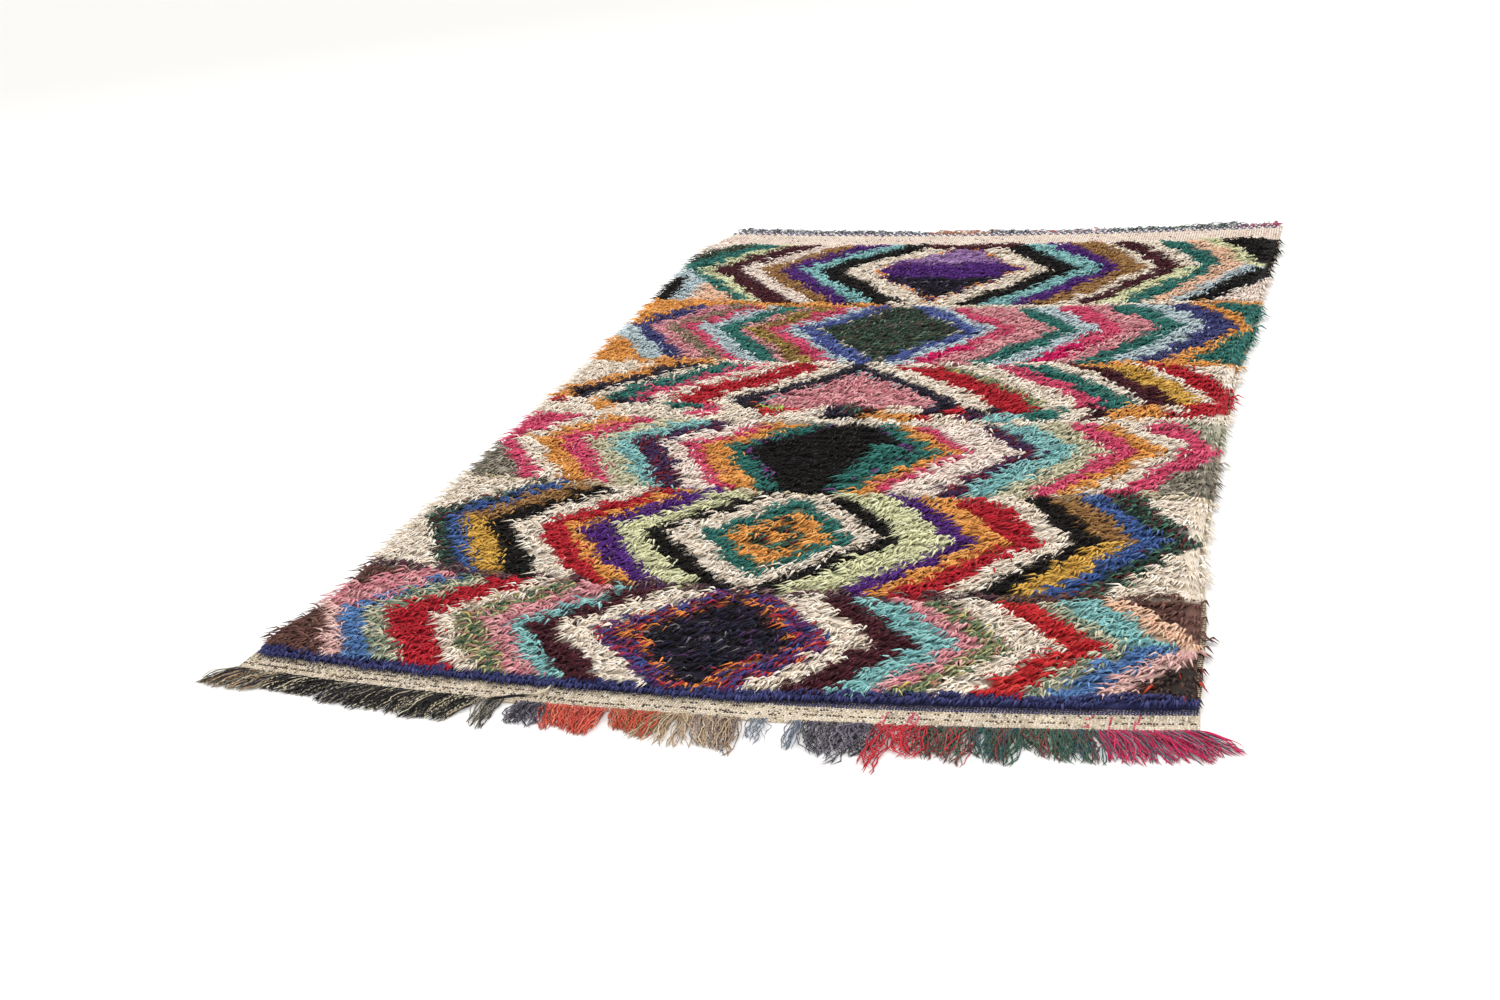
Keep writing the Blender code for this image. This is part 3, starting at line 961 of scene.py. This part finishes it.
# %% [markdown]
# ## The ground
#
# The ground is one woven sheet. Its top shows only at the two ends, under the twined stitches and as
# a plain indigo strip at the near pile. Its back shows the knots' loops between the wefts: the
# chart again, dulled, broken up by the rows of weft. So its points carry the chart's colours on
# the pile's stretch and bare yarn at the ends, and the material draws the weft rows over them.

# %% Ground sheet
GROUND_CELL = 0.020
PLAIN_STRIP = (-1.3125, -1.285)


def ground_yarns(x, along):
    """Bare yarn on the two ends, an indigo strip, and the pile's chart between."""
    numbers = yarn_at(x, along - 0.012)
    numbers = np.where(along > PILE_TO + 0.004, number_of("skirt_pink"), numbers)
    numbers = np.where(along < PLAIN_STRIP[1], number_of("indigo_band"), numbers)
    return np.where(along < PLAIN_STRIP[0], number_of("cream"), numbers)


def ground_material():
    """Weft rows over the points' colours: cream yarn between broken dashes of colour."""
    material, tree, shader = plain_nodes("ground_yarn")
    colour = add_node(tree, "ShaderNodeAttribute", attribute_name="yarn")
    place = add_node(tree, "ShaderNodeTexCoord").outputs["Object"]
    knots = add_node(tree, "ShaderNodeTexBrick", {
        "Scale": 1.0, "Brick Width": 0.0092, "Row Height": 0.0061, "Mortar Size": 0.0011,
        "Mortar Smooth": 0.4, "Color1": (1, 1, 1, 1), "Color2": (0.7, 0.7, 0.7, 1),
        "Mortar": (0, 0, 0, 1), "Vector": place,
    })
    cream = add_node(tree, "ShaderNodeMix", {
        "A": (0.56, 0.47, 0.33, 1), "Factor": knots.outputs["Color"], "B": colour.outputs["Color"],
    }, data_type="RGBA")
    dress(tree, shader, cream.outputs["Result"], place, 0.45, 0.7, 0.0012, knots.outputs["Color"])
    shader.inputs["Roughness"].default_value = 0.94
    shader.inputs["Specular IOR Level"].default_value = 0.15
    return material


def ground_top(x, along):
    return np.full(np.shape(x), GROUND_THICKNESS)


ground = coloured_slab(
    "ground_sheet", GROUND_CELL, NEAR_END + 0.001, FAR_END - 0.001, 0.0, ground_top, 0.0, 0.85, 32,
    yarns=ground_yarns,
)
ground.data.materials.append(ground_material())
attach(ground, "root")
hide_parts("ground_weave")

# %% [markdown]
# ## Twined stitches on the bare ends
#
# The skirt at each end is weft twining: two yarns cross between every pair of warps, which leaves
# slanted stitches that read as small chevrons. Each stitch is a plump lozenge, six points and
# eight faces, slanted one way in one column and the other way in the next. Dark weft rows, red warp
# columns and a blue and white row at the far end are only colours of stitches.

# %% Stitches
STITCH_PITCH = 0.0042
STITCH_LENGTH = 0.0068
STITCH_WIDTH = 0.0035
STITCH_HEIGHT = 0.0017
STITCH_SLANT = math.radians(34)
RED_WARPS = ((0.312, 0.322), (0.352, 0.366), (0.596, 0.604), (0.626, 0.632), (0.662, 0.670))


def near_stitch_yarns(x, along, rng):
    """Cream, with thin dark rows, more of them on the left, a few red warps, and the indigo strip."""
    share = (along - NEAR_END) / (PLAIN_STRIP[0] - NEAR_END)
    chance = rng.uniform(0, 1, (3, len(x)))
    numbers = np.where(chance[0] < 0.20, number_of("ecru"), number_of("cream"))
    wobble = 0.05 * soft_noise(x, x * 0, 0.11, 9)
    middle = np.abs(share - 0.46 - wobble) < 0.06
    outer = np.abs(share - 0.86 - wobble) < 0.06
    left = np.clip(-x / 0.5, 0, 1)
    numbers = np.where(chance[1] < 0.05 + 0.16 * left, number_of("grey_heather"), numbers)
    dark = np.where(middle, 0.62, np.where(outer, 0.22 + 0.3 * left, 0.015))
    numbers = np.where(chance[2] < dark, number_of("dark_brown"), numbers)
    for start, stop in RED_WARPS:
        red = (x > start) & (x < stop) & (rng.uniform(0, 1, len(x)) < 0.6)
        numbers = np.where(red, number_of("rose"), numbers)
    strip_from = PLAIN_STRIP[0] + 0.012 * np.clip((0.20 - x) / 0.15, 0, 1)
    return np.where(along > strip_from, number_of("indigo_band"), numbers)


def far_stitch_yarns(x, along, rng):
    """Pinkish cream with a few dark and rose strays."""
    numbers = np.full(len(x), number_of("skirt_pink"))
    stray = rng.uniform(0, 1, len(x))
    numbers = np.where(stray < 0.015, number_of("dark_brown"), numbers)
    return np.where(stray > 0.98, number_of("dusty_pink"), numbers)


def far_check_yarns(x, along, rng):
    """The braided rows at the very end: blue and white by turns."""
    check = np.floor(x / 0.0105 + (along > FAR_END - 0.008)).astype(int) % 2 == 0
    return np.where(check, number_of("check_blue"), number_of("skirt_pink"))


def make_stitches(name, from_along, to_along, row_pitch, scale, yarns, seed):
    """Rows of slanted lozenges over one stretch of the cloth, joined into one piece."""
    rng = np.random.default_rng(seed)
    lines = np.arange(from_along, to_along, row_pitch)
    columns = np.arange(-0.79, 0.79, STITCH_PITCH * scale)
    x, along = (grid.ravel() for grid in np.meshgrid(columns, lines))
    column = np.tile(np.arange(len(columns)), len(lines))
    keep = np.abs(x) < half_width(x, along) - 0.002
    x, along, column = x[keep], along[keep], column[keep]
    x = x + rng.normal(0, 0.0003, len(x))
    along = along + rng.normal(0, 0.0003, len(x))
    y = floor_y(x, along)
    slant = np.where(column % 2 == 0, STITCH_SLANT, -STITCH_SLANT) + rng.normal(0, 0.12, len(x))
    run = np.stack([np.sin(slant), np.cos(slant), np.zeros(len(x))], axis=1)
    wide = np.stack([np.cos(slant), -np.sin(slant), np.zeros(len(x))], axis=1)
    centre = np.stack([x, y, np.full(len(x), GROUND_THICKNESS + 0.0003)], axis=1)
    centre[:, 2] += 0.0005 * soft_noise(x, along, 0.03, 12)
    size = scale * rng.uniform(0.88, 1.12, len(x))[:, None]
    up = np.array([0.0, 0.0, 1.0])
    points = np.stack([
        centre + run * size * STITCH_LENGTH / 2, centre + wide * size * STITCH_WIDTH / 2,
        centre - run * size * STITCH_LENGTH / 2, centre - wide * size * STITCH_WIDTH / 2,
        centre + up * STITCH_HEIGHT * scale, centre - up * STITCH_HEIGHT * 0.5,
    ], axis=1)
    one = np.array([(1, 0, 4), (2, 1, 4), (3, 2, 4), (0, 3, 4), (0, 1, 5), (1, 2, 5), (2, 3, 5), (3, 0, 5)])
    loops = (one.ravel()[None, :] + np.arange(len(x))[:, None] * 6).ravel()
    mesh = mesh_from_loops(name, points, loops, np.full(len(x) * len(one), 3))
    tone = draw_colours(yarns(x, along, rng), rng) * rng.uniform(0.84, 1.1, len(x))[:, None]
    # painted light and shade on each stitch: its top point lighter, its ends and sides darker, its bottom
    # point darkest
    shade = np.array([0.92, 0.84, 0.92, 0.84, 1.06, 0.7])
    paint(mesh, "yarn", (tone[:, None, :] * shade[None, :, None]).reshape(-1, 3))
    corner = np.array([(0.0, 0.5), (0.25, 1.0), (0.5, 0.5), (0.25, 0.0), (0.25, 0.5)])
    maps = []
    for face in one:
        for point in face:
            if 4 in face:
                maps.append(corner[point])
            else:
                maps.append(corner[4 if point == 5 else point] + (0.5, 0.0))
    add_tiles(mesh, np.array(maps), len(x), 0.06, 0.86)
    piece = place_piece(name, mesh, STITCH_YARN)
    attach(piece, "root")
    print(name, len(x), "stitches")
    return piece


near_stitches = make_stitches(
    "skirt_stitches_near", NEAR_END + 0.002, PLAIN_STRIP[1], 0.0052, 1.0, near_stitch_yarns, 41,
)
far_stitches = make_stitches(
    "skirt_stitches_far", PILE_TO + 0.006, FAR_END - 0.022, 0.0078, 1.5, far_stitch_yarns, 42,
)
far_check = make_stitches(
    "end_braid_far", FAR_END - 0.0155, FAR_END - 0.002, 0.0100, 2.3, far_check_yarns, 43,
)

# %% [markdown]
# ## The fringes
#
# The warps end in plied yarns that lie on the floor, gathered in loose bunches, each of the colour
# that its warps were dyed. A bunch is a row of the table: where its roots start and end, where
# its tips do, how far it reaches, how wavy it is, and its yarns. A plied yarn is a flattened tube
# that turns along its length, with one ply's colour on each side, so the twist shows.

# %% Fringe bunches
NEAR_BUNCHES = (
    # root from, root to, tip from, tip to, reach from, reach to, wave, pitch, yarns
    (-0.746, -0.650, -0.792, -0.695, 0.054, 0.056, 0.8, 2.3, ("charcoal", "ecru", "grey_heather", "tan")),
    (-0.650, -0.540, -0.700, -0.580, 0.046, 0.052, 0.9, 2.3, ("charcoal", "black", "ecru", "black")),
    (-0.540, -0.468, -0.572, -0.505, 0.060, 0.066, 0.7, 2.3, ("black", "navy", "black", "grey_heather")),
    (-0.466, -0.300, -0.496, -0.330, 0.066, 0.074, 0.9, 2.4, ("black", "ecru", "black", "charcoal", "black")),
    (-0.300, -0.262, -0.292, -0.262, 0.078, 0.096, 0.4, 4.5, ("black", "grey_heather")),
    (-0.236, -0.192, -0.240, -0.186, 0.064, 0.074, 1.0, 2.4, ("violet_grey", "violet_grey", "navy")),
    (-0.192, -0.092, -0.176, -0.096, 0.066, 0.078, 0.7, 2.2, ("brick", "brick", "brick_pale")),
    (-0.086, -0.008, -0.066, -0.010, 0.054, 0.070, 0.7, 2.2, ("brick", "brick", "caramel")),
    (-0.012, 0.040, -0.040, 0.060, 0.080, 0.096, 0.6, 3.0, ("tan", "tan", "pale_tan")),
    (0.040, 0.112, 0.070, 0.124, 0.086, 0.112, 0.8, 2.7, ("tan", "pale_tan", "violet_grey", "tan")),
    (0.128, 0.152, 0.134, 0.164, 0.058, 0.086, 0.9, 5.0, ("grey_blue",)),
    (0.190, 0.206, 0.194, 0.206, 0.076, 0.088, 0.6, 4.0, ("grey_blue",)),
    (0.210, 0.270, 0.236, 0.270, 0.086, 0.106, 1.5, 3.2, ("violet_grey", "charcoal", "violet_grey")),
    (0.272, 0.308, 0.284, 0.308, 0.078, 0.088, 1.6, 2.6, ("violet_grey", "charcoal", "violet_grey")),
    (0.308, 0.338, 0.312, 0.330, 0.110, 0.142, 1.1, 4.6, ("crimson",)),
    (0.340, 0.388, 0.352, 0.380, 0.078, 0.094, 1.7, 4.8, ("crimson",)),
    (0.372, 0.450, 0.376, 0.444, 0.080, 0.098, 1.0, 2.6, ("bottle", "bottle", "brick_dark", "crimson")),
    (0.452, 0.514, 0.462, 0.514, 0.082, 0.094, 0.9, 2.3, ("bottle", "deep_teal", "brick_dark", "bottle")),
    (0.516, 0.562, 0.524, 0.580, 0.060, 0.080, 0.9, 2.5, ("bottle", "bottle", "brick_dark")),
    (0.562, 0.612, 0.576, 0.634, 0.080, 0.092, 0.9, 2.4, ("bottle", "brick_dark", "bottle", "deep_teal")),
    (0.612, 0.668, 0.640, 0.704, 0.078, 0.090, 0.6, 2.3, ("hot_magenta", "hot_magenta", "violet_grey")),
    (0.670, 0.748, 0.716, 0.814, 0.088, 0.056, 0.7, 2.3, ("hot_magenta", "hot_magenta", "violet_grey")),
)
FAR_BUNCHES = (
    (-0.742, -0.560, -0.752, -0.560, 0.056, 0.050, 1.2, 4.0, ("grey_blue", "violet_grey", "charcoal")),
    (-0.556, -0.326, -0.550, -0.326, 0.036, 0.050, 1.2, 4.2, ("grey_blue", "charcoal", "violet_grey")),
    (-0.322, -0.180, -0.322, -0.184, 0.040, 0.030, 1.2, 4.2, ("charcoal", "grey_blue")),
    (-0.170, -0.020, -0.166, -0.020, 0.040, 0.052, 1.3, 4.0, ("tan", "brick_pale", "caramel")),
    (-0.018, 0.120, -0.016, 0.120, 0.050, 0.040, 1.2, 4.2, ("charcoal", "grey_blue", "violet_grey")),
    (0.122, 0.300, 0.120, 0.300, 0.030, 0.042, 1.2, 4.4, ("brick_pale", "grey_blue", "grey_blue")),
    (0.304, 0.520, 0.302, 0.524, 0.040, 0.046, 1.2, 3.8, ("bottle", "grey_blue", "charcoal")),
    (0.524, 0.640, 0.530, 0.650, 0.056, 0.078, 1.2, 3.4, ("bottle", "charcoal", "violet_grey")),
    (0.642, 0.750, 0.646, 0.758, 0.034, 0.050, 1.2, 3.6, ("hot_magenta", "violet_grey")),
)
YARNS.update({
    "charcoal": ((52, 48, 54, 5), (38, 36, 40, 3)),
    "violet_grey": ((112, 104, 120, 4), (92, 84, 100, 3), (134, 128, 138, 1)),
    "grey_blue": ((128, 136, 150, 4), (104, 112, 128, 3)),
    "tan": ((176, 144, 110, 4), (152, 120, 88, 3), (192, 164, 130, 2)),
    "pale_tan": ((206, 184, 152, 4), (190, 162, 130, 2)),
    "brick": ((204, 66, 46, 5), (186, 50, 38, 3), (214, 92, 66, 2)),
    "brick_pale": ((216, 112, 84, 4), (200, 84, 62, 2)),
    "brick_dark": ((128, 48, 48, 4), (104, 40, 44, 3)),
    "crimson": ((204, 32, 50, 5), (184, 24, 42, 3)),
    "bottle": ((44, 92, 70, 5), (34, 74, 60, 3), (66, 112, 84, 2)),
    "deep_teal": ((40, 88, 98, 4), (34, 72, 84, 3)),
    "hot_magenta": ((206, 22, 88, 5), (186, 16, 78, 3), (220, 48, 104, 1)),
})
YARN_NAMES = list(YARNS)
YARN_RADIUS = 0.00118
YARN_STATIONS = 9
CLUMP_WIDTH = 0.017


def plied_tubes(name, path, radius, phase, first, second, shade):
    """Flattened tubes along many paths, turning slowly, with two plies' colours."""
    stations = path.shape[1] - 1
    tangent = np.gradient(path, axis=1)
    tangent = tangent / np.linalg.norm(tangent, axis=2, keepdims=True)
    side = np.cross(tangent, np.array([0.0, 0.0, 1.0]))
    side = side / np.linalg.norm(side, axis=2, keepdims=True)
    over = np.cross(side, tangent)
    turn = phase + np.arange(stations + 1)[None, :] * 0.9
    corners = []
    for number in range(4):
        angle = turn - number * math.pi / 2
        flat = radius * (1.0 if number % 2 == 0 else 0.62)
        corner = side * (np.cos(angle) * flat)[..., None] + over * (np.sin(angle) * flat)[..., None]
        corners.append(path + corner)
    rings = np.stack(corners, axis=2)[:, :stations]
    rings[..., 2] = np.maximum(rings[..., 2], 0.0002)
    ends = path[:, stations].copy()
    ends[:, 2] = np.maximum(ends[:, 2] - 0.0006, 0.0004)
    shares = list(np.arange(stations) / stations)
    one = first[:, None, :] * shade
    piece = strands_object(name, rings, ends, one, shares, FRINGE_YARN, second[:, None, :] * shade)
    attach(piece, "root")
    return piece


def make_fringe(name, bunches, end, outward, layers, heap, seed, node):
    """All the plied yarns of one end, joined into one piece."""
    rng = np.random.default_rng(seed)
    roots = []
    tips = []
    reaches = []
    waves = []
    plies = []
    for row in bunches:
        root_from, root_to, tip_from, tip_to, reach_from, reach_to, wave, pitch, yarns = row
        count = max(2, round((root_to - root_from) * 1000 / pitch * layers))
        clumps = max(1, round((root_to - root_from) / CLUMP_WIDTH))
        share = (np.arange(count) + 0.5) / count
        clump = np.minimum((share * clumps).astype(int), clumps - 1)
        centre = (np.arange(clumps) + 0.5) / clumps + rng.normal(0, 0.22, clumps) / clumps
        gathered = 0.50 * share + 0.50 * centre[clump] + rng.normal(0, 0.26, count) / clumps
        roots.append(root_from + (root_to - root_from) * share + rng.normal(0, 0.0012, count))
        tips.append(tip_from + (tip_to - tip_from) * np.clip(gathered, -0.05, 1.05))
        length = (reach_from + (reach_to - reach_from) * share) * rng.uniform(0.88, 1.08, clumps)[clump]
        reaches.append(length * (1.04 - 0.40 * rng.uniform(0, 1, count) ** 2.2))
        waves.append(np.full(count, wave))
        one = rng.integers(0, len(yarns), count)
        other = np.where(rng.uniform(0, 1, count) < 0.5, rng.integers(0, len(yarns), count), one)
        names = np.array([number_of(yarn) for yarn in yarns])
        plies.append(np.stack([names[one], names[other]], axis=1))
    root_x = np.concatenate(roots)
    tip_x = np.concatenate(tips)
    reach = np.concatenate(reaches)
    wave = np.concatenate(waves)[:, None]
    ply = np.concatenate(plies)
    strands = len(root_x)

    share = np.linspace(0, 1, YARN_STATIONS + 1)[None, :]
    phase = rng.uniform(0, 2 * math.pi, (strands, 1))
    turns = rng.uniform(0.8, 1.9, (strands, 1))
    x = root_x[:, None] + (tip_x - root_x)[:, None] * share ** 1.15
    x = x + wave * 0.0052 * np.sin(phase + turns * share * 2 * math.pi) * share ** 0.7
    x = x + wave * 0.0018 * np.sin(phase * 2.3 + turns * share * 5.2 * math.pi) * share ** 0.5
    x = x + wave * 4 * rng.normal(0, 0.0085, (strands, 1)) * share * (1 - share)
    root_y = floor_y(np.clip(root_x, -0.745, 0.748), np.full(strands, end))
    y = root_y[:, None] + outward * (reach[:, None] * share - 0.004)
    y = y + wave * 0.0020 * np.cos(phase * 1.7 + turns * share * 2 * math.pi) * share
    layer = rng.uniform(0, 1, (strands, 1)) ** 1.3
    lift = heap * layer * np.sin(np.pi * np.clip(share * 0.96, 0, 1)) + 0.0024 * (1 - share) ** 3
    z = YARN_RADIUS + lift + 0.0010 * layer * (1 + np.sin(phase + share * 9))
    path = np.stack([x, y, z], axis=2)

    radius = YARN_RADIUS * rng.uniform(0.8, 1.2, (strands, 1)) * (1 - 0.25 * share)
    # a random tone for each yarn, with painted shade: darker towards the root and on the yarns that lie low
    # in the heap
    shade = rng.uniform(0.85, 1.12, (strands, 1, 1)) * (0.80 + 0.24 * share[..., None] ** 0.5)
    shade = shade * (0.80 + 0.24 * layer[..., None])
    piece = plied_tubes(
        name, path, radius, phase, draw_colours(ply[:, 0], rng), draw_colours(ply[:, 1], rng), shade,
    )
    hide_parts(node)


make_fringe("fringe_near_yarns", NEAR_BUNCHES, NEAR_END, -1, 3.0, 0.0090, 51, "fringe_near")
make_fringe("fringe_far_yarns", FAR_BUNCHES, FAR_END, 1, 1.5, 0.0080, 52, "fringe_far")

# %% [markdown]
# ## A loose thread
#
# One thick warp end has come out of the skirt and lies over it and the fringe. Its upper half is undyed and
# its lower half black. Its route is a list of places on the cloth, and three thin tubes laid side by side
# make its three plies.

# %% Loose thread
THREAD_ROUTE = (
    # x, along
    (-0.194, -1.278), (-0.197, -1.296), (-0.200, -1.312), (-0.204, -1.326), (-0.214, -1.338),
    (-0.232, -1.346), (-0.252, -1.352), (-0.272, -1.360), (-0.290, -1.366),
)
THREAD_PLIES = 3
THREAD_LIFT = 0.0062


def make_thread():
    """Three plies along one route, cream first and black after its middle."""
    route = np.array(THREAD_ROUTE)
    stations = len(route) - 1
    places = np.stack([
        route[:, 0], floor_y(route[:, 0], route[:, 1]), np.full(len(route), GROUND_THICKNESS + THREAD_LIFT),
    ], axis=1)
    places[0, 2] += 0.008
    places[-1, 2] -= 0.004
    twist = np.arange(THREAD_PLIES)[:, None] * 2 * math.pi / THREAD_PLIES
    twist = twist + np.arange(stations + 1)[None, :] * 1.1
    path = np.repeat(places[None], THREAD_PLIES, axis=0)
    path[..., 0] += 0.0016 * np.cos(twist)
    path[..., 2] += 0.0016 * np.sin(twist)
    dyed = (np.arange(stations + 1) > stations / 2).astype(float)[None, :, None]
    cream = linear((214, 202, 176))
    black = linear((34, 32, 34))
    tone = np.repeat(cream + (black - cream) * dyed, THREAD_PLIES, axis=0)
    one = np.ones((THREAD_PLIES, 3))
    piece = plied_tubes(
        "loose_thread", path, np.full((THREAD_PLIES, stations + 1), 0.0014), twist[:, :1], one, one, tone,
    )


make_thread()
